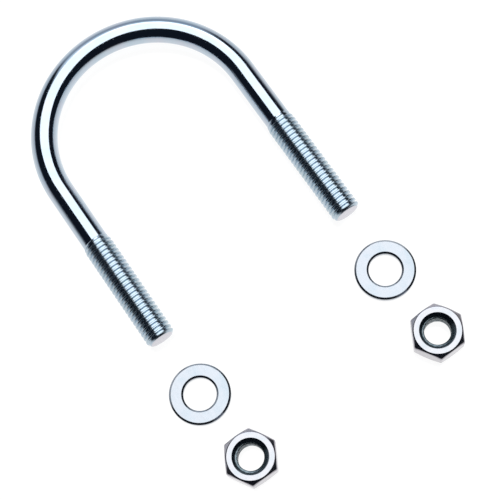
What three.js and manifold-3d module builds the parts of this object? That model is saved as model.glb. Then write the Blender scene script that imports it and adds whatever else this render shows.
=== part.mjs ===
// U-bolt kit: one bent rod with two threaded legs, two plain washers and two hex nuts.
//
// The U lies flat on a table with its legs along -Y. Each leg's washer and nut lie flat on the
// same table, in line with the leg. Millimetres, +Z up. The origin is the middle of the whole
// layout's footprint, at table height.

import * as THREE from 'three';
import Module from 'manifold-3d';
import { mergeVertices } from 'three/addons/utils/BufferGeometryUtils.js';

// Thread: M8 coarse, rolled, so the plain rod has the pitch diameter.
const PITCH = 1.25;
const CREST_RADIUS = 3.94;
const ROOT_RADIUS = 3.26;
const SHANK_RADIUS = 3.55;

// U-bolt
const BEND_RADIUS = 29.08; // to the rod's centreline, so the legs are 58.16 apart
const LEG_LENGTH = 49.1; // from the bend's centre to a leg's end face
const THREAD_LENGTH = 32.4; // from a leg's end face to the end of the run-out
const RUN_OUT = 2.2; // the thread fades into the plain rod over this length
const TIP_RADIUS = 3.2; // a leg's end face, inside its 45 degree chamfer

// Plain washer for M8
const WASHER_RADIUS = 8.0;
const WASHER_HOLE_RADIUS = 4.3;
const WASHER_THICKNESS = 1.6;
const WASHER_BEVEL_WIDTH = 0.5; // on the upper face, round the rim and round the hole
const WASHER_BEVEL_DEPTH = 0.4;
const WASHER_LOWER_EDGE = 0.15;

// Hex nut for M8
const NUT_ACROSS_FLATS = 13.0;
const NUT_HEIGHT = 6.5;
const NUT_FACE_RADIUS = 6.15; // the flat ring inside the corner chamfer
const NUT_CHAMFER_SLOPE = Math.tan(THREE.MathUtils.degToRad(42));
const NUT_MINOR_RADIUS = 3.42;
const NUT_MAJOR_RADIUS = 4.12;
const NUT_MOUTH_RADIUS = 4.7; // countersink at each face
const NUT_MOUTH_SLOPE = Math.tan(THREE.MathUtils.degToRad(42));

// Where the loose pieces lie, from the bend's centre: x, y and the turn of a corner from +X.
const WASHER_PLACES = { left: [-28.96, -65.99], right: [28.68, -66.55] };
const NUT_PLACES = { left: [-27.43, -87.45], right: [29.46, -88.19] };
const NUT_TURNS = { left: 0.6, right: 1.9 };

// Facets
const ROD_SIDES = 20;
const ROD_STEPS = 60;
const THREAD_SIDES = 16;
const RING_SIDES = 40;

const wasm = await Module();
wasm.setup();

const zinc = { color: 0xc9cfda, metalness: 1.0, roughness: 0.22 };
const satinZinc = { color: 0xccd1d8, metalness: 1.0, roughness: 0.38 };

/** Turns a closed three.js geometry into a manifold solid. */
function solidOf(geometry) {
  const bare = geometry.clone();
  bare.deleteAttribute('normal');
  bare.deleteAttribute('uv');
  const merged = mergeVertices(bare, 1e-4);
  return new wasm.Manifold(new wasm.Mesh({
    numProp: 3,
    vertProperties: new Float32Array(merged.attributes.position.array),
    triVerts: new Uint32Array(merged.index.array),
  }));
}

/** Makes a named three.js mesh from a manifold solid. */
function meshOf(name, solid, look) {
  const { vertProperties, triVerts } = solid.getMesh();
  const geometry = new THREE.BufferGeometry();
  geometry.setAttribute('position', new THREE.BufferAttribute(vertProperties, 3));
  geometry.setIndex(new THREE.BufferAttribute(triVerts, 1));
  geometry.computeVertexNormals();
  const mesh = new THREE.Mesh(geometry, new THREE.MeshStandardMaterial({ ...look, flatShading: true }));
  mesh.name = name;
  return mesh;
}

/** Turns a profile of [radius, height] points about the Z axis. */
function turned(profile, sides = RING_SIDES) {
  const points = profile.map(([radius, height]) => new THREE.Vector2(radius, height));
  return new THREE.LatheGeometry(points, sides).rotateX(Math.PI / 2);
}

/**
 * A right-handed threaded bar along +Z, closed at both ends. One row of vertices for each corner of
 * the thread's profile is wound up the same helix, and `radiusAt(radius, z)` may fade the thread.
 */
function threadedBar(crest, root, turns, radiusAt = (radius) => radius) {
  const profile = [[0, crest], [1 / 8, crest], [7 / 16, root], [11 / 16, root]];
  const rows = profile.length;
  const steps = THREAD_SIDES * turns;
  const positions = [];
  const triangles = [];
  // a row past the profile's last corner is the first corner of the next turn
  const vertex = (step, row) => {
    const over = row === rows ? 1 : 0;
    return (step + over * THREAD_SIDES) * rows + (row - over * rows);
  };
  for (let step = 0; step <= steps + THREAD_SIDES; step += 1) {
    const angle = (2 * Math.PI * step) / THREAD_SIDES;
    for (const [part, radius] of profile) {
      const z = PITCH * (step / THREAD_SIDES + part);
      const r = radiusAt(radius, z);
      positions.push(r * Math.cos(angle), r * Math.sin(angle), z);
    }
  }
  for (let step = 0; step < steps; step += 1) {
    for (let row = 0; row < rows; row += 1) {
      const [a, b] = [vertex(step, row), vertex(step + 1, row)];
      const [c, d] = [vertex(step + 1, row + 1), vertex(step, row + 1)];
      triangles.push(a, b, c, a, c, d);
    }
  }
  // each end is a fan from the axis to one turn of the helix and the profile that closes it
  const fan = (firstStep, outward) => {
    const rim = [];
    for (let step = 0; step < THREAD_SIDES; step += 1) rim.push(vertex(firstStep + step, 0));
    for (let row = rows; row > 0; row -= 1) rim.push(vertex(firstStep, row));
    const centre = positions.length / 3;
    positions.push(0, 0, PITCH * (firstStep / THREAD_SIDES + 0.5));
    rim.forEach((here, index) => {
      const next = rim[(index + 1) % rim.length];
      triangles.push(centre, ...(outward > 0 ? [here, next] : [next, here]));
    });
  };
  fan(0, -1);
  fan(steps, 1);
  const geometry = new THREE.BufferGeometry();
  geometry.setAttribute('position', new THREE.Float32BufferAttribute(positions, 3));
  geometry.setIndex(triangles);
  return geometry;
}

/** The rod's centreline: up the left leg, round the bend and down the right leg. */
class UCentreline extends THREE.Curve {
  constructor(radius, leg) {
    super();
    this.radius = radius;
    this.leg = leg;
  }

  getPoint(t, target = new THREE.Vector3()) {
    const arc = Math.PI * this.radius;
    const along = t * (arc + 2 * this.leg);
    if (along < this.leg) return target.set(-this.radius, along - this.leg, 0);
    if (along > this.leg + arc) return target.set(this.radius, this.leg + arc - along, 0);
    const angle = Math.PI - (along - this.leg) / this.radius;
    return target.set(this.radius * Math.cos(angle), this.radius * Math.sin(angle), 0);
  }
}

/** The plain rod, bent to a U, that joins the two threads. */
function bentRod() {
  const section = new THREE.Shape().absarc(0, 0, SHANK_RADIUS, 0, 2 * Math.PI);
  const plainLeg = LEG_LENGTH - THREAD_LENGTH + 0.3;
  return new THREE.ExtrudeGeometry(section, {
    steps: ROD_STEPS,
    curveSegments: ROD_SIDES / 2,
    bevelEnabled: false,
    extrudePath: new UCentreline(BEND_RADIUS, plainLeg),
  });
}

/** A leg's thread along +Z from its end face, with a chamfered tip and a faded run-out. */
function legThread() {
  const innerRadius = SHANK_RADIUS - 0.08; // ends hidden inside the plain rod
  const fadeStart = THREAD_LENGTH - RUN_OUT;
  const faded = (radius, z) => {
    const share = THREE.MathUtils.clamp((z - PITCH - fadeStart) / RUN_OUT, 0, 1);
    return THREE.MathUtils.lerp(radius, innerRadius, share);
  };
  const turns = Math.ceil(THREAD_LENGTH / PITCH) + 1;
  // the bar starts one pitch below the end face, which trims its slanted end off
  const bar = solidOf(threadedBar(CREST_RADIUS, ROOT_RADIUS, turns, faded).translate(0, 0, -PITCH));
  const wide = CREST_RADIUS + 0.5;
  const top = THREAD_LENGTH + PITCH;
  const envelope = turned([[0, 0], [TIP_RADIUS, 0], [wide, wide - TIP_RADIUS], [wide, top], [0, top]]);
  return bar.intersect(solidOf(envelope));
}

function uBolt() {
  let bolt = solidOf(bentRod());
  for (const side of [-1, 1]) {
    const thread = legThread()
      .rotate([-90, 0, 0])
      .translate([side * BEND_RADIUS, -LEG_LENGTH, 0]);
    bolt = bolt.add(thread);
  }
  return meshOf('u_bolt', bolt.translate([0, 0, CREST_RADIUS]), zinc);
}

function washer(name, [x, y]) {
  const inner = WASHER_HOLE_RADIUS;
  const outer = WASHER_RADIUS;
  const top = WASHER_THICKNESS;
  const section = [
    [inner, WASHER_LOWER_EDGE], [inner + WASHER_LOWER_EDGE, 0],
    [outer - WASHER_LOWER_EDGE, 0], [outer, WASHER_LOWER_EDGE],
    [outer, top - WASHER_BEVEL_DEPTH], [outer - WASHER_BEVEL_WIDTH, top],
    [inner + WASHER_BEVEL_WIDTH, top], [inner, top - WASHER_BEVEL_DEPTH],
    [inner, WASHER_LOWER_EDGE],
  ];
  const mesh = meshOf(name, solidOf(turned(section)), satinZinc);
  mesh.position.set(x, y, 0);
  return mesh;
}

/** The hexagon with both faces' corners taken off. */
function nutBlank() {
  const corner = NUT_ACROSS_FLATS / Math.sqrt(3);
  const hexagon = new THREE.Shape();
  for (let index = 0; index < 6; index += 1) {
    const angle = (index * Math.PI) / 3;
    const point = [corner * Math.cos(angle), corner * Math.sin(angle)];
    if (index === 0) hexagon.moveTo(...point);
    else hexagon.lineTo(...point);
  }
  const prism = new THREE.ExtrudeGeometry(hexagon, { depth: NUT_HEIGHT, bevelEnabled: false });
  const wide = corner + 0.2;
  const drop = (wide - NUT_FACE_RADIUS) * NUT_CHAMFER_SLOPE;
  const cones = turned([
    [0, 0], [NUT_FACE_RADIUS, 0], [wide, drop],
    [wide, NUT_HEIGHT - drop], [NUT_FACE_RADIUS, NUT_HEIGHT], [0, NUT_HEIGHT],
  ]);
  return solidOf(prism).intersect(solidOf(cones));
}

/** What is taken out of the nut: its thread and the conical mouth at each face. */
function nutBore() {
  const turns = Math.ceil(NUT_HEIGHT / PITCH) + 2;
  const thread = threadedBar(NUT_MAJOR_RADIUS, NUT_MINOR_RADIUS, turns).translate(0, 0, -1.5 * PITCH);
  const past = 0.5;
  const wide = NUT_MOUTH_RADIUS + past / NUT_MOUTH_SLOPE;
  const depth = NUT_MOUTH_RADIUS * NUT_MOUTH_SLOPE;
  const lower = turned([[0, -past], [wide, -past], [0, depth]]);
  const upper = turned([[0, NUT_HEIGHT - depth], [wide, NUT_HEIGHT + past], [0, NUT_HEIGHT + past]]);
  return solidOf(thread).add(solidOf(lower)).add(solidOf(upper));
}

function nut(name, [x, y], turn) {
  const mesh = meshOf(name, nutBlank().subtract(nutBore()), satinZinc);
  mesh.position.set(x, y, 0);
  mesh.rotation.z = THREE.MathUtils.degToRad(turn);
  return mesh;
}

const kit = new THREE.Group();
kit.add(uBolt());
for (const side of ['left', 'right']) {
  kit.add(washer(`washer_${side}`, WASHER_PLACES[side]));
  kit.add(nut(`nut_${side}`, NUT_PLACES[side], NUT_TURNS[side]));
}

// the origin goes to the middle of the footprint
const middle = new THREE.Box3().setFromObject(kit, true).getCenter(new THREE.Vector3());
kit.position.set(-middle.x, -middle.y, 0);

export default kit;
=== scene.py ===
"""U-bolt kit in bright zinc plate: a bent, threaded rod with a loose washer and nut in line with each leg.

Every piece is a fine mesh in place of its CAD node, worked out from the node's box. Metres, +Z up.
"""

import math

import bpy
import numpy as np
from mathutils import Matrix, Vector


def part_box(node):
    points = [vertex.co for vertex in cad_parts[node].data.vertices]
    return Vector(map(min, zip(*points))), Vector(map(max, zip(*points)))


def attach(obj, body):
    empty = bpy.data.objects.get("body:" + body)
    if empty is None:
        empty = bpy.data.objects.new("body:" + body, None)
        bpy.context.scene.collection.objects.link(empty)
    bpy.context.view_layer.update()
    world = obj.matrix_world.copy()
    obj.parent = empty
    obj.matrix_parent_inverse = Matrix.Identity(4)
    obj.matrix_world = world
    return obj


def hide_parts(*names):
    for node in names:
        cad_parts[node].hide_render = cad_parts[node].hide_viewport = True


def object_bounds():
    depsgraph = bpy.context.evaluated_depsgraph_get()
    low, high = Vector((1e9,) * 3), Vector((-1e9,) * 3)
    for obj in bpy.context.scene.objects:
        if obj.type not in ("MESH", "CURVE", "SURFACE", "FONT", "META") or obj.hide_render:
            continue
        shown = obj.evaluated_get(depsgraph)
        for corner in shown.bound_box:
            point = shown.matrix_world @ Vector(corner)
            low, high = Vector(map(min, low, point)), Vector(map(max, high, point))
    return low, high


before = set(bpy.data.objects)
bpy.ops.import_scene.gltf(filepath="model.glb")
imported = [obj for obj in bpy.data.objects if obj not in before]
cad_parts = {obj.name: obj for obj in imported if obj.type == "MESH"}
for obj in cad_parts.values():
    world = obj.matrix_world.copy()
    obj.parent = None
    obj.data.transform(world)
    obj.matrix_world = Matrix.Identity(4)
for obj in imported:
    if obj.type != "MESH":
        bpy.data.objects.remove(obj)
cad_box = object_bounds()

MM = 0.001
SIDES = ("left", "right")

# Thread, M8 coarse and rolled: the plain rod has about the pitch diameter
PITCH = 1.25 * MM
ROOT_RADIUS = 3.36 * MM
SHANK_RADIUS = 3.55 * MM
THREAD_LENGTH = 32.4 * MM
RUN_OUT = 2.4 * MM
TIP_RADIUS = 3.15 * MM
ROOT_SHARE = 0.42  # of the half pitch that is root
CREST_SHARE = 0.30  # of the half pitch that is crest
ROWS_PER_PITCH = 18
PAST_THREAD = 0.2 * MM  # how far the close rows go on past the thread
PLAIN_ROWS = 116
ROD_COLUMNS = 72
CREST_CLEARANCE = 0.01 * MM  # keeps the crests inside the CAD node's box
TIP_SLOPE = 1.05
TIP_BLEND = 0.25 * MM
END_DOME = 0.05 * MM  # how far a leg's end face falls back at its edge
END_CROWN = 0.02 * MM  # and how far it stands out in the middle
END_RINGS = (0.12, 0.35, 0.6, 0.8, 0.9, 0.96)  # shares of the end face's radius

# Washer
HOLE_RADIUS = 4.3 * MM
WASHER_BEVEL_WIDTH = 0.5 * MM  # on the upper face, round the rim and round the hole
WASHER_BEVEL_DEPTH = 0.4 * MM
WASHER_FILLET = 0.12 * MM
WASHER_FOOT_FILLET = 0.1 * MM  # where a bevel meets the rim or the hole
WASHER_COLUMNS = 192

# Nut
NUT_FLAT_RADIUS = 6.5 * MM  # from the axis to a flat
NUT_FACE_RADIUS = 6.13 * MM
NUT_CHAMFER_SLOPE = math.tan(math.radians(42))
NUT_MOUTH_RADIUS = 4.72 * MM
NUT_MOUTH_SLOPE = math.tan(math.radians(42))
NUT_COUNTERSINK_SHADE_DEPTH = 1.6 * MM  # painted shade darkens the bore this near either face, so each countersink is darkest
NUT_COUNTERSINK_SHADE_FADE = 0.6 * MM
NUT_BORE_INSET = 0.15 * MM  # the bore's painted shade ends just inside the mouth
NUT_BORE_FADE = 0.1 * MM
NUT_FACE_SLACK = 0.01 * MM  # a point this near the top or bottom is on a face
NUT_MINOR_RADIUS = 3.42 * MM
NUT_MAJOR_RADIUS = 4.1 * MM
NUT_CORNER_ROUND = 0.6 * MM
NUT_MOUTH_FILLET = 0.12 * MM
NUT_FACE_FILLET = 0.5 * MM
NUT_WALL_FILLET = 1.1 * MM
NUT_MOUTH_STRIP = 0.2 * MM  # how much of each countersink belongs to the outside's outline
NUT_THREAD_BLEND = 0.12 * MM
NUT_COLUMNS_PER_FLAT = 32
NUT_CORNER_CROWDING = 0.7  # from 0, evenly spread columns, to 1, bunched at the corners

# Camera
CAMERA_AZIMUTH = math.radians(-18.66)
CAMERA_ELEVATION = math.radians(73.87)
CAMERA_ROLL = math.radians(-16.15)
CAMERA_DISTANCE = 415.1 * MM
CAMERA_LENS = 115.0
CAMERA_AIM = Vector((2.79 * MM, -42.53 * MM, 0.0))  # from the bend's centre

# Light
SOFTBOX_PLACE = (0.34, 0.23, 0.70)
SOFTBOX_WIDTH = 1.12
SOFTBOX_RADIANCE = 1.8
SOFTBOX_TINT = (0.97, 0.985, 1.0)
DARK_ROOM = (0.008, 0.011, 0.018)
GREY_WALL = (0.36, 0.42, 0.50)
UPPER_WALL = (0.95, 1.05, 1.15)
PALE_WALL = (0.62, 0.66, 0.72)

# Edges in the room: a direction, and the shares along it where the edge starts and ends
GREY_FROM_LEFT = ((0.99, 0.12, 0.0), -0.06, 0.06)
GREY_FROM_RIGHT = ((-0.71, 0.71, 0.0), -0.12, 0.06)
BELOW_SOFTBOX = ((0.0, 0.0, -1.0), -0.86, -0.66)
HIGH_UP = ((0.0, 0.0, 1.0), 0.42, 0.66)
AT_THE_BACK = ((0.0, 1.0, 0.0), 0.26, 0.46)
LOW_DOWN = ((0.0, 0.0, -1.0), -0.28, -0.02)

# Table
TABLE_REACH = 6.0
TABLE_GREY = (0.12, 0.12, 0.12, 1.0)
TABLE_GLOW = 0.97
TABLE_GLOSS_ROUGHNESS = 0.12


# ---------------------------------------------------------------- shapes

def smooth(x):
    x = np.clip(x, 0.0, 1.0)
    return x * x * (3.0 - 2.0 * x)


def soft_min(a, b, width):
    """The smaller of two lengths, rounded over a width where they cross."""
    share = np.clip(0.5 + 0.5 * (b - a) / width, 0.0, 1.0)
    return b + (a - b) * share - width * share * (1.0 - share)


def soft_max(a, b, width):
    return -soft_min(-a, -b, width)


def thread_radius(turns, crest, root):
    """The radius of a rounded thread, whose crest is where turns is a whole number."""
    from_root = np.abs(turns - np.floor(turns) - 0.5) * 2.0
    flank = (from_root - ROOT_SHARE) / (1.0 - ROOT_SHARE - CREST_SHARE)
    return root + (crest - root) * smooth(flank)


def grid_mesh(name, points, closed):
    """One closed mesh from rows of rings of points. The rows join end to end, or each end is capped."""
    rows, columns = points.shape[:2]
    vertices = points.reshape(-1, 3)
    row = np.arange(rows if closed else rows - 1)[:, None]
    column = np.arange(columns)[None, :]
    here = row * columns
    there = (row + 1) % rows * columns
    beside = (column + 1) % columns
    corners = [here + column, here + beside, there + beside, there + column]
    quads = np.stack(corners, axis=-1).reshape(-1, 4)
    faces = quads.tolist()
    if not closed:
        ends = np.stack([points[0].mean(axis=0), points[-1].mean(axis=0)])
        first, last = len(vertices), len(vertices) + 1
        base = (rows - 1) * columns
        vertices = np.vstack([vertices, ends])
        for index in range(columns):
            after = (index + 1) % columns
            faces.append([after, index, first])
            faces.append([base + index, base + after, last])
    mesh = bpy.data.meshes.new(name)
    mesh.from_pydata(vertices.tolist(), [], faces)
    corner = vertices[quads[:, :3]]
    volume = np.einsum("ij,ij->i", corner[:, 0], np.cross(corner[:, 1], corner[:, 2])).sum()
    if volume < 0:
        mesh.flip_normals()
    mesh.polygons.foreach_set("use_smooth", np.ones(len(mesh.polygons), dtype=bool))
    mesh.update()
    return mesh


def point_values(mesh, name, values):
    """Stores a number or a vector for each vertex."""
    vector = values.ndim > 1
    layer = mesh.attributes.new(name, "FLOAT_VECTOR" if vector else "FLOAT", "POINT")
    key = "vector" if vector else "value"
    layer.data.foreach_set(key, values.astype(np.float32).ravel())


def filleted(corners, radii, steps=5, guard=0.04 * MM):
    """Rounds each corner of an open outline, once for each column of it.

    corners has the shape (corners, columns, 2). The first and last points stay. A guard point
    each side of a fillet keeps the flats between fillets flat when they are shaded smooth.
    """
    out = [corners[0]]
    for index in range(1, len(corners) - 1):
        here = corners[index]
        back = corners[index - 1] - here
        ahead = corners[index + 1] - here
        back_length = np.linalg.norm(back, axis=1, keepdims=True)
        ahead_length = np.linalg.norm(ahead, axis=1, keepdims=True)
        back = back / back_length
        ahead = ahead / ahead_length
        cosine = np.clip((back * ahead).sum(axis=1, keepdims=True), -0.9999, 0.9999)
        half = 0.5 * np.arccos(cosine)
        room = 0.42 * np.minimum(back_length, ahead_length)
        reach = np.minimum(radii[index] / np.tan(half), room)
        start = here + back * reach
        end = here + ahead * reach
        out.append(start + back * np.minimum(guard, 0.3 * room))
        for step in range(steps + 1):
            t = step / steps
            out.append(start * (1 - t) ** 2 + here * (2 * t * (1 - t)) + end * t ** 2)
        out.append(end + ahead * np.minimum(guard, 0.3 * room))
    out.append(corners[-1])
    return np.array(out)


def wound(outline, angles):
    """Turns an outline of (radius, height) for each column into points about the Z axis."""
    radius, height = outline[..., 0], outline[..., 1]
    return np.stack([radius * np.cos(angles), radius * np.sin(angles), height], axis=-1)


# ---------------------------------------------------------------- the U-bolt

class Rod:
    """The bent rod's centreline and sizes, from the CAD node's box."""

    def __init__(self):
        low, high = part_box("u_bolt")
        self.crest = (high.z - low.z) / 2
        self.bend = (high.x - low.x) / 2 - self.crest
        top = high.y - self.bend - SHANK_RADIUS
        self.centre = Vector(((low.x + high.x) / 2, top, low.z + self.crest))
        self.leg = self.centre.y - low.y
        self.length = 2 * self.leg + math.pi * self.bend

    def frames(self, along):
        """The centreline's point and its outward normal, for each distance from the left leg's end."""
        arc = math.pi * self.bend
        angle = math.pi - np.clip((along - self.leg) / arc, 0.0, 1.0) * math.pi
        down = np.maximum(self.leg - along, 0.0) + np.maximum(along - self.leg - arc, 0.0)
        normal = np.stack([np.cos(angle), np.sin(angle), np.zeros_like(angle)], axis=-1)
        point = np.array(self.centre) + normal * self.bend
        point[:, 1] -= down
        return point, normal


def rod_stations(rod):
    """Distances along the rod: close together on the threads, wide on the plain rod."""
    fine = np.arange(0.0, THREAD_LENGTH + PAST_THREAD, PITCH / ROWS_PER_PITCH)
    plain = np.linspace(fine[-1], rod.length - fine[-1], PLAIN_ROWS)[1:-1]
    return np.concatenate([fine, plain, (rod.length - fine)[::-1]])


def plain_share(from_tip):
    """Rises from 0 on the thread to 1 on the plain rod, over the run-out."""
    return smooth((from_tip - THREAD_LENGTH + RUN_OUT) / RUN_OUT)


def rod_radius(rod, along, angle):
    """The rod's radius: thread, run-out, plain rod and the chamfered tips."""
    from_tip = np.minimum(along, rod.length - along)
    turns = along / PITCH - angle / (2 * math.pi)
    thread = thread_radius(turns, rod.crest - CREST_CLEARANCE, ROOT_RADIUS)
    body = thread + (SHANK_RADIUS - thread) * plain_share(from_tip)
    tip = TIP_RADIUS + from_tip * TIP_SLOPE
    return soft_min(body, tip, TIP_BLEND)


def end_face(rod, at_start, angle):
    """Rings from near the middle of a leg's end face out to its edge, which is a little domed."""
    point, normal = rod.frames(np.array([0.0 if at_start else rod.length]))
    rim = rod_radius(rod, np.zeros((1, 1)), angle[None, :])
    rings = []
    for share in END_RINGS:
        inset = END_DOME * share ** 6 - END_CROWN * (1 - share)
        ring = ring_points(point, normal, rim * share, angle)[0]
        rings.append(ring + np.array([0.0, inset, 0.0]))
    return np.array(rings if at_start else rings[::-1])


def ring_points(point, normal, radius, angle):
    across = normal[:, None, :] * np.cos(angle)[None, :, None]
    upward = np.array([0.0, 0.0, 1.0]) * np.sin(angle)[None, :, None]
    return point[:, None, :] + (across + upward) * radius[..., None]


def u_bolt():
    rod = Rod()
    angle = np.linspace(0.0, 2 * math.pi, ROD_COLUMNS, endpoint=False)
    along = rod_stations(rod)
    point, normal = rod.frames(along)
    radius = rod_radius(rod, along[:, None], angle[None, :])
    body = ring_points(point, normal, radius, angle)
    body[0, :, 1] += END_DOME
    body[-1, :, 1] += END_DOME
    faces = [end_face(rod, True, angle), end_face(rod, False, angle)]
    points = np.concatenate([faces[0], body, faces[1]])
    mesh = grid_mesh("u_bolt_plated", points, closed=False)

    # the rod as if it were straight, for the marks that run along it
    edge = len(faces[0])
    far = np.concatenate([np.zeros(edge), along, np.full(edge, rod.length)])
    shape = points.shape[:2]
    sizes = np.concatenate([radius[:1].repeat(edge, axis=0), radius, radius[-1:].repeat(edge, axis=0)])
    straight = np.stack([
        np.broadcast_to(far[:, None], shape),
        sizes * np.cos(angle),
        sizes * np.sin(angle),
    ], axis=-1).reshape(-1, 3)
    straight = np.vstack([straight, [[0, 0, 0], [rod.length, 0, 0]]])
    from_tip = np.minimum(straight[:, 0], rod.length - straight[:, 0])
    point_values(mesh, "straight", straight)
    point_values(mesh, "threaded", 1.0 - plain_share(from_tip))
    at_end = (far <= 0) | (far >= rod.length)
    point_values(mesh, "cut", np.append(np.broadcast_to(at_end[:, None], shape), [1, 1]))
    return mesh


# ---------------------------------------------------------------- washers

def washer(node):
    low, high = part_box(node)
    outer = (high.x - low.x) / 2
    thick = high.z - low.z
    angle = np.linspace(0.0, 2 * math.pi, WASHER_COLUMNS, endpoint=False)
    middle = (HOLE_RADIUS + outer) / 2
    bevel_foot = thick - WASHER_BEVEL_DEPTH
    outline = [
        (middle, thick), (HOLE_RADIUS + WASHER_BEVEL_WIDTH, thick), (HOLE_RADIUS, bevel_foot),
        (HOLE_RADIUS, 0.0), (outer, 0.0),
        (outer, bevel_foot), (outer - WASHER_BEVEL_WIDTH, thick), (middle, thick),
    ]
    one_side = [0.0, WASHER_FILLET, WASHER_FOOT_FILLET, WASHER_FILLET]
    radii = one_side + one_side[::-1]
    corners = np.array(outline)[:, None, :].repeat(WASHER_COLUMNS, axis=1)
    rounded = filleted(corners, radii)
    points = wound(rounded[:-1], angle)
    return grid_mesh(node + "_plated", points, closed=True)


# ---------------------------------------------------------------- nuts

def hexagon_radius(angle, flat):
    """The distance from a hexagon's centre to its edge, with rounded corners. A corner is at angle 0."""
    sector = math.pi / 3
    from_corner = np.abs((angle + sector / 2) % sector - sector / 2)
    straight = flat / np.cos(sector / 2 - from_corner)
    centre = (flat - NUT_CORNER_ROUND) / math.cos(sector / 2)
    inside = np.maximum(NUT_CORNER_ROUND ** 2 - (centre * np.sin(from_corner)) ** 2, 0.0)
    arc = centre * np.cos(from_corner) + np.sqrt(inside)
    tangent = math.atan2(
        NUT_CORNER_ROUND * math.sin(sector / 2),
        centre + NUT_CORNER_ROUND * math.cos(sector / 2),
    )
    return np.where(from_corner < tangent, arc, straight)


def corner_turn(node, centre):
    """How far the nut's nearest corner is turned from +X, from the CAD node's outermost points."""
    places = np.array([vertex.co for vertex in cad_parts[node].data.vertices])[:, :2]
    offset = places - np.array(centre)[:2]
    distance = np.linalg.norm(offset, axis=1)
    corners = offset[distance > distance.max() - 0.01 * MM]
    turns = np.arctan2(corners[:, 1], corners[:, 0])
    sixth = math.pi / 3
    return float(np.mean((turns + sixth / 2) % sixth - sixth / 2))


def nut(node, centre, turn):
    low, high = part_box(node)
    height = high.z - low.z
    columns = 6 * NUT_COLUMNS_PER_FLAT
    step = np.linspace(0.0, 1.0, NUT_COLUMNS_PER_FLAT, endpoint=False)
    sector = step - NUT_CORNER_CROWDING * np.sin(2 * math.pi * step) / (2 * math.pi)
    angle = np.concatenate([(flat_index + sector) * math.pi / 3 for flat_index in range(6)])
    wall = hexagon_radius(angle, NUT_FLAT_RADIUS)
    drop = (wall - NUT_FACE_RADIUS) * NUT_CHAMFER_SLOPE
    lip = NUT_MOUTH_STRIP * NUT_MOUTH_SLOPE
    one = np.ones(columns)

    def corner(radius, level):
        return np.stack([radius * one, level * one], axis=-1)

    corners = np.array([
        corner(NUT_MOUTH_RADIUS - NUT_MOUTH_STRIP, height - lip),
        corner(NUT_MOUTH_RADIUS, height), corner(NUT_FACE_RADIUS, height), corner(wall, height - drop),
        corner(wall, drop), corner(NUT_FACE_RADIUS, 0.0), corner(NUT_MOUTH_RADIUS, 0.0),
        corner(NUT_MOUTH_RADIUS - NUT_MOUTH_STRIP, lip),
    ])
    upper_half = [0.0, NUT_MOUTH_FILLET, NUT_FACE_FILLET, NUT_WALL_FILLET]
    radii = upper_half + upper_half[::-1]
    outside = filleted(corners, radii)

    level = np.arange(lip, height - lip, PITCH / ROWS_PER_PITCH)[1:, None]
    turns = level / PITCH - angle[None, :] / (2 * math.pi)
    thread = thread_radius(turns, NUT_MAJOR_RADIUS, NUT_MINOR_RADIUS)
    mouth = NUT_MOUTH_RADIUS - np.minimum(level, height - level) / NUT_MOUTH_SLOPE
    bore_radius = soft_max(thread, mouth, NUT_THREAD_BLEND)
    inside = np.stack([bore_radius, np.broadcast_to(level, bore_radius.shape)], axis=-1)
    points = wound(np.concatenate([outside, inside]), angle)
    mesh = grid_mesh(node + "_plated", points, closed=True)
    depth = np.abs(points[..., 2] - height / 2).ravel()
    point_values(mesh, "face", (depth > height / 2 - NUT_FACE_SLACK).astype(float))
    reach = np.linalg.norm(points[..., :2], axis=-1).ravel()
    # painted shade: the bore is coloured darker than the outside, up to just inside each mouth
    bore = 1.0 - smooth((reach - NUT_MOUTH_RADIUS + NUT_BORE_INSET) / NUT_BORE_FADE)
    point_values(mesh, "bore", bore)
    # painted shade: the bore near the top and bottom faces, that is each countersink, is coloured darker
    # still
    countersink_shade = smooth((depth - height / 2 + NUT_COUNTERSINK_SHADE_DEPTH) / NUT_COUNTERSINK_SHADE_FADE)
    point_values(mesh, "mouth", bore * countersink_shade)
    mesh.transform(Matrix.Rotation(turn, 4, "Z"))
    return mesh


# ---------------------------------------------------------------- materials

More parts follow.
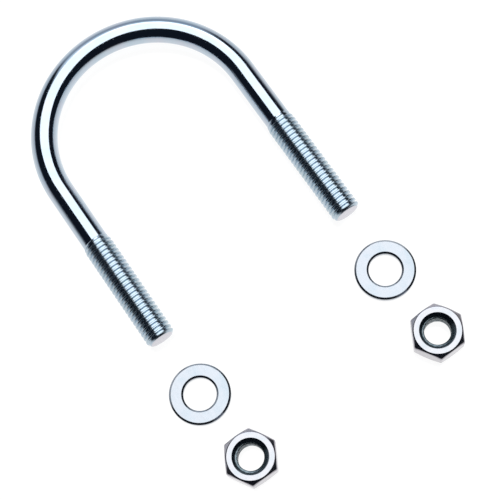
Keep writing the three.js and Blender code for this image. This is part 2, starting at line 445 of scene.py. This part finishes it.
class Material:
    """A node material that is built a link at a time."""

    def __init__(self, name, **constants):
        self.material = bpy.data.materials.new(name)
        self.material.use_nodes = True
        self.tree = self.material.node_tree
        self.shader = self.tree.nodes["Principled BSDF"]
        for socket, value in constants.items():
            self.shader.inputs[socket.replace("_", " ")].default_value = value

    def node(self, kind, settings=None, **inputs):
        made = self.tree.nodes.new("ShaderNode" + kind)
        for key, value in (settings or {}).items():
            setattr(made, key, value)
        for key, value in inputs.items():
            self.feed(made.inputs[key.replace("_", " ")], value)
        return made

    def feed(self, socket, value):
        if isinstance(value, bpy.types.NodeSocket):
            self.tree.links.new(value, socket)
        else:
            socket.default_value = value

    def coordinates(self, attribute=None, stretch=(1.0, 1.0, 1.0)):
        """The place on the piece, from its own object or from a stored vector, in stretched metres."""
        if attribute:
            source = self.node("Attribute", {"attribute_name": attribute}).outputs["Vector"]
        else:
            source = self.node("TexCoord").outputs["Object"]
        return self.node("Mapping", Vector=source, Scale=stretch).outputs["Vector"]

    def noise(self, where, scale, detail=4.0, roughness=0.55):
        made = self.node("TexNoise", Vector=where, Scale=scale, Detail=detail, Roughness=roughness)
        return made.outputs["Fac"]

    def attribute(self, name):
        """A number stored for each vertex."""
        return self.node("Attribute", {"attribute_name": name}).outputs["Fac"]

    def ranged(self, value, low, high, start=0.0, end=1.0):
        made = self.node("MapRange", Value=value)
        for key, number in (("From Min", start), ("From Max", end), ("To Min", low), ("To Max", high)):
            made.inputs[key].default_value = number
        return made.outputs["Result"]

    def math(self, operation, first, second):
        made = self.node("Math", {"operation": operation})
        self.feed(made.inputs[0], first)
        self.feed(made.inputs[1], second)
        return made.outputs[0]

    def tints(self, value, colours):
        """A colour from evenly spaced tints."""
        ramp = self.node("ValToRGB", Fac=value)
        stops = ramp.color_ramp.elements
        while len(stops) < len(colours):
            stops.new(0.5)
        for index, colour in enumerate(colours):
            share = index / (len(colours) - 1)
            stops[index].position = TINT_START + (TINT_END - TINT_START) * share
            stops[index].color = (*colour, 1.0)
        return ramp.outputs["Color"]

    def mixed(self, share, first, second):
        made = self.node("Mix", {"data_type": "RGBA"})
        for index, value in ((0, share), (6, first), (7, second)):
            self.feed(made.inputs[index], value)
        return made.outputs[2]

    def bump(self, height, distance, strength=1.0, under=None):
        made = self.node("Bump", Height=height, Strength=strength)
        made.inputs["Distance"].default_value = distance
        if under is not None:
            self.feed(made.inputs["Normal"], under)
        return made.outputs["Normal"]

    def finish(self, colour, roughness, normal):
        self.feed(self.shader.inputs["Base Color"], colour)
        self.feed(self.shader.inputs["Roughness"], roughness)
        self.feed(self.shader.inputs["Normal"], normal)
        return self.material


PER_MM = 1000.0  # turns metres into millimetres, so a noise's scale is in features a millimetre
THREAD_ROUGHENING = 0.13
BORE_ROUGHENING = 0.12
GRAIN_SHARE = 0.4
TINT_START, TINT_END = 0.25, 0.75  # the part of a noise's range that its tints are spread over

THREAD_BLUE = (0.47, 0.57, 0.62)
BORE_SHADE_BLUE = (0.31, 0.38, 0.42)
SHADED_ZINC = (0.18, 0.22, 0.24)
DEEP_SHADED_ZINC = (0.13, 0.17, 0.19)
BLUE_WHITE = (0.48, 0.58, 0.67)
PALE_ZINC = (0.52, 0.60, 0.68)
LILAC = (0.56, 0.59, 0.67)
SILVER = (0.45, 0.495, 0.525)
SILVER_LILAC = (0.53, 0.53, 0.555)
WALL_LILAC = (0.49, 0.46, 0.51)
WALL_GREY = (0.44, 0.43, 0.46)
CUT_STEEL = (0.60, 0.59, 0.64)
SATIN_BLUE = (0.37, 0.45, 0.505)
SATIN_WHITE = (0.48, 0.505, 0.545)


def rod_zinc():
    """Mirror-bright plate over drawn wire: fine marks along the rod and a few specks."""
    look = Material("bright_zinc_rod", Metallic=1.0)
    along = look.coordinates("straight", stretch=(PER_MM / 25, PER_MM, PER_MM))
    even = look.coordinates("straight", stretch=(PER_MM, PER_MM, PER_MM))
    threaded = look.attribute("threaded")
    drawn = look.noise(along, scale=2.2, detail=3.0)
    cloud = look.noise(even, scale=0.18, detail=2.0)
    specks = look.noise(even, scale=3.5, detail=2.0)
    plain = look.tints(cloud, [BLUE_WHITE, PALE_ZINC, LILAC])
    rolled = look.tints(cloud, [THREAD_BLUE, BLUE_WHITE, THREAD_BLUE])
    cut = look.attribute("cut")
    colour = look.mixed(cut, look.mixed(threaded, plain, rolled), (*CUT_STEEL, 1.0))
    drawn_roughness = look.ranged(drawn, low=0.05, high=0.11, start=0.3, end=0.7)
    roughness = look.math("ADD", drawn_roughness, look.math("MULTIPLY", threaded, THREAD_ROUGHENING))
    pits = look.ranged(specks, low=-1.0, high=0.0, start=0.2, end=0.34)
    normal = look.bump(drawn, distance=0.004 * MM)
    normal = look.bump(pits, distance=0.01 * MM, under=normal)
    return look.finish(colour, roughness, normal)


def washer_zinc():
    """Satin plate on a stamped blank, with fine tumbling marks."""
    look = Material("satin_zinc_washer", Metallic=1.0)
    here = look.coordinates(stretch=(PER_MM, PER_MM, PER_MM))
    streaks = look.coordinates(stretch=(PER_MM, 0.22 * PER_MM, PER_MM))
    grain = look.noise(here, scale=3.0, detail=6.0, roughness=0.7)
    scuffs = look.noise(streaks, scale=1.6, detail=5.0)
    cloud = look.noise(here, scale=0.22, detail=2.0)
    grained_cloud = look.mixed(GRAIN_SHARE, cloud, grain)
    colour = look.tints(grained_cloud, [SATIN_BLUE, SATIN_WHITE, SATIN_BLUE])
    roughness = look.ranged(scuffs, low=0.12, high=0.24, start=0.3, end=0.7)
    normal = look.bump(grain, distance=0.006 * MM)
    normal = look.bump(scuffs, distance=0.006 * MM, under=normal)
    return look.finish(colour, roughness, normal)


def nut_zinc():
    """Bright plate on a forged nut whose faces have faint turned rings, with painted shade darkening its
    bore and countersinks.
    """
    look = Material("bright_zinc_nut", Metallic=1.0)
    here = look.coordinates(stretch=(PER_MM, PER_MM, PER_MM))
    face = look.attribute("face")
    settings = {"wave_type": "RINGS", "rings_direction": "Z"}
    rings = look.node("TexWave", settings, Vector=here, Scale=1.6, Distortion=0.6).outputs["Fac"]
    grain = look.noise(here, scale=2.4, detail=5.0, roughness=0.65)
    cloud = look.noise(here, scale=0.2, detail=2.0)
    bore = look.attribute("bore")
    turned = look.tints(cloud, [SILVER, SILVER_LILAC, SILVER])
    forged = look.tints(cloud, [WALL_LILAC, WALL_GREY, WALL_LILAC])
    outside = look.mixed(face, forged, turned)
    # painted shade: the bore's colour is darker than the outside's
    inside = look.tints(cloud, [BORE_SHADE_BLUE, SHADED_ZINC, BORE_SHADE_BLUE])
    mouth = look.attribute("mouth")
    # painted shade: the countersinks are darker still
    countersink_shade = look.tints(cloud, [SHADED_ZINC, DEEP_SHADED_ZINC, SHADED_ZINC])
    colour = look.mixed(mouth, look.mixed(bore, outside, inside), countersink_shade)
    grain_roughness = look.ranged(grain, low=0.1, high=0.2, start=0.3, end=0.7)
    roughness = look.math("ADD", grain_roughness, look.math("MULTIPLY", bore, BORE_ROUGHENING))
    normal = look.bump(look.math("MULTIPLY", rings, face), distance=0.004 * MM)
    normal = look.bump(grain, distance=0.006 * MM, under=normal)
    return look.finish(colour, roughness, normal)


# ---------------------------------------------------------------- pieces

def place(mesh, node, slot, material, centre=(0.0, 0.0, 0.0)):
    """Puts a mesh in the scene as the piece that stands for a CAD node."""
    mesh.materials.append(material)
    piece = bpy.data.objects.new(mesh.name, mesh)
    piece.location = centre
    bpy.context.scene.collection.objects.link(piece)
    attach(piece, node)
    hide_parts(node)
    return piece


def footprint_centre(node):
    low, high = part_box(node)
    return Vector(((low.x + high.x) / 2, (low.y + high.y) / 2, low.z))


def build_pieces():
    place(u_bolt(), "u_bolt", "bright_zinc_rod", rod_zinc())
    washer_look = washer_zinc()
    nut_look = nut_zinc()
    for side in SIDES:
        node = "washer_" + side
        place(washer(node), node, "satin_zinc_washer", washer_look, footprint_centre(node))
        node = "nut_" + side
        centre = footprint_centre(node)
        place(nut(node, centre, corner_turn(node, centre)), node, "bright_zinc_nut", nut_look, centre)


# ---------------------------------------------------------------- stage

def add_camera():
    rod = Rod()
    back = Vector((
        math.sin(CAMERA_AZIMUTH) * math.cos(CAMERA_ELEVATION),
        -math.cos(CAMERA_AZIMUTH) * math.cos(CAMERA_ELEVATION),
        math.sin(CAMERA_ELEVATION),
    ))
    level = Vector((math.cos(CAMERA_AZIMUTH), math.sin(CAMERA_AZIMUTH), 0.0))
    upright = back.cross(level)
    right = math.cos(CAMERA_ROLL) * level + math.sin(CAMERA_ROLL) * upright
    up = -math.sin(CAMERA_ROLL) * level + math.cos(CAMERA_ROLL) * upright
    eye = rod.centre + CAMERA_AIM + back * CAMERA_DISTANCE
    data = bpy.data.cameras.new("camera")
    data.lens = CAMERA_LENS
    data.sensor_width = 36.0
    data.clip_start = 0.01
    data.clip_end = 20.0
    camera = bpy.data.objects.new("camera", data)
    turn = Matrix((right, up, back)).transposed().to_4x4()
    camera.matrix_world = Matrix.Translation(eye) @ turn
    bpy.context.scene.collection.objects.link(camera)
    bpy.context.scene.camera = camera


def add_floor():
    """A white table that glows, so the pieces hardly shade it."""
    mesh = bpy.data.meshes.new("floor")
    corners = [(x * TABLE_REACH, y * TABLE_REACH, 0) for x, y in ((-1, -1), (1, -1), (1, 1), (-1, 1))]
    mesh.from_pydata(corners, [], [(0, 1, 2, 3)])
    look = Material("white_table", Metallic=0.0, Roughness=0.9)
    look.shader.inputs["Base Color"].default_value = TABLE_GREY
    look.shader.inputs["Specular IOR Level"].default_value = 0.0
    look.shader.inputs["Emission Color"].default_value = (1.0, 1.0, 1.0, 1.0)
    look.shader.inputs["Emission Strength"].default_value = TABLE_GLOW
    look.shader.inputs["Coat Weight"].default_value = 1.0
    look.shader.inputs["Coat Roughness"].default_value = TABLE_GLOSS_ROUGHNESS
    mesh.materials.append(look.material)
    floor = bpy.data.objects.new("floor", mesh)
    floor.location = (0.0, 0.0, cad_box[0][2])
    bpy.context.scene.collection.objects.link(floor)


def add_softbox():
    """One large round softbox above, off towards the back right."""
    data = bpy.data.lights.new("softbox", "AREA")
    data.shape = "DISK"
    data.size = SOFTBOX_WIDTH
    data.energy = SOFTBOX_RADIANCE * math.pi * (math.pi * SOFTBOX_WIDTH ** 2 / 4)
    data.color = SOFTBOX_TINT
    light = bpy.data.objects.new("softbox", data)
    light.location = SOFTBOX_PLACE
    bpy.context.scene.collection.objects.link(light)


class Surroundings:
    """A room made of pale areas on a dark ground, each bounded by smooth edges across the sky."""

    def __init__(self, ground):
        self.world = bpy.data.worlds.new("studio")
        self.world.use_nodes = True
        self.tree = self.world.node_tree
        self.direction = self.tree.nodes.new("ShaderNodeTexCoord").outputs["Generated"]
        self.colour = None
        self.ground = ground

    def edge(self, towards, start, end):
        """Rises from 0 to 1 as a direction's share along a vector goes from start to end."""
        along = self.tree.nodes.new("ShaderNodeVectorMath")
        along.operation = "DOT_PRODUCT"
        self.tree.links.new(self.direction, along.inputs[0])
        along.inputs[1].default_value = towards
        rise = self.tree.nodes.new("ShaderNodeMapRange")
        rise.interpolation_type = "SMOOTHSTEP"
        self.tree.links.new(along.outputs["Value"], rise.inputs["Value"])
        rise.inputs["From Min"].default_value = start
        rise.inputs["From Max"].default_value = end
        return rise.outputs["Result"]

    def area(self, colour, *edges):
        """Lays a colour over what is there, inside all the edges."""
        share = edges[0]
        for edge in edges[1:]:
            both = self.tree.nodes.new("ShaderNodeMath")
            both.operation = "MULTIPLY"
            self.tree.links.new(share, both.inputs[0])
            self.tree.links.new(edge, both.inputs[1])
            share = both.outputs[0]
        laid = self.tree.nodes.new("ShaderNodeMix")
        laid.data_type = "RGBA"
        factor, under, over = laid.inputs[0], laid.inputs[6], laid.inputs[7]
        self.tree.links.new(share, factor)
        if self.colour is None:
            under.default_value = (*self.ground, 1.0)
        else:
            self.tree.links.new(self.colour, under)
        over.default_value = (*colour, 1.0)
        self.colour = laid.outputs[2]

    def finish(self):
        self.tree.links.new(self.colour, self.tree.nodes["Background"].inputs["Color"])
        bpy.context.scene.world = self.world


def add_surroundings():
    """Dark at the front and the sides, a grey wall at the back right and a pale one along the back."""
    room = Surroundings(DARK_ROOM)
    grey = [room.edge(*place) for place in (GREY_FROM_LEFT, GREY_FROM_RIGHT, BELOW_SOFTBOX)]
    room.area(GREY_WALL, *grey)
    room.area(UPPER_WALL, *grey, room.edge(*HIGH_UP))
    room.area(PALE_WALL, room.edge(*AT_THE_BACK), room.edge(*LOW_DOWN))
    room.finish()


def add_stage():
    bpy.context.scene.view_settings.view_transform = "Standard"
    add_camera()
    add_floor()
    add_softbox()
    add_surroundings()


add_stage()
build_pieces()
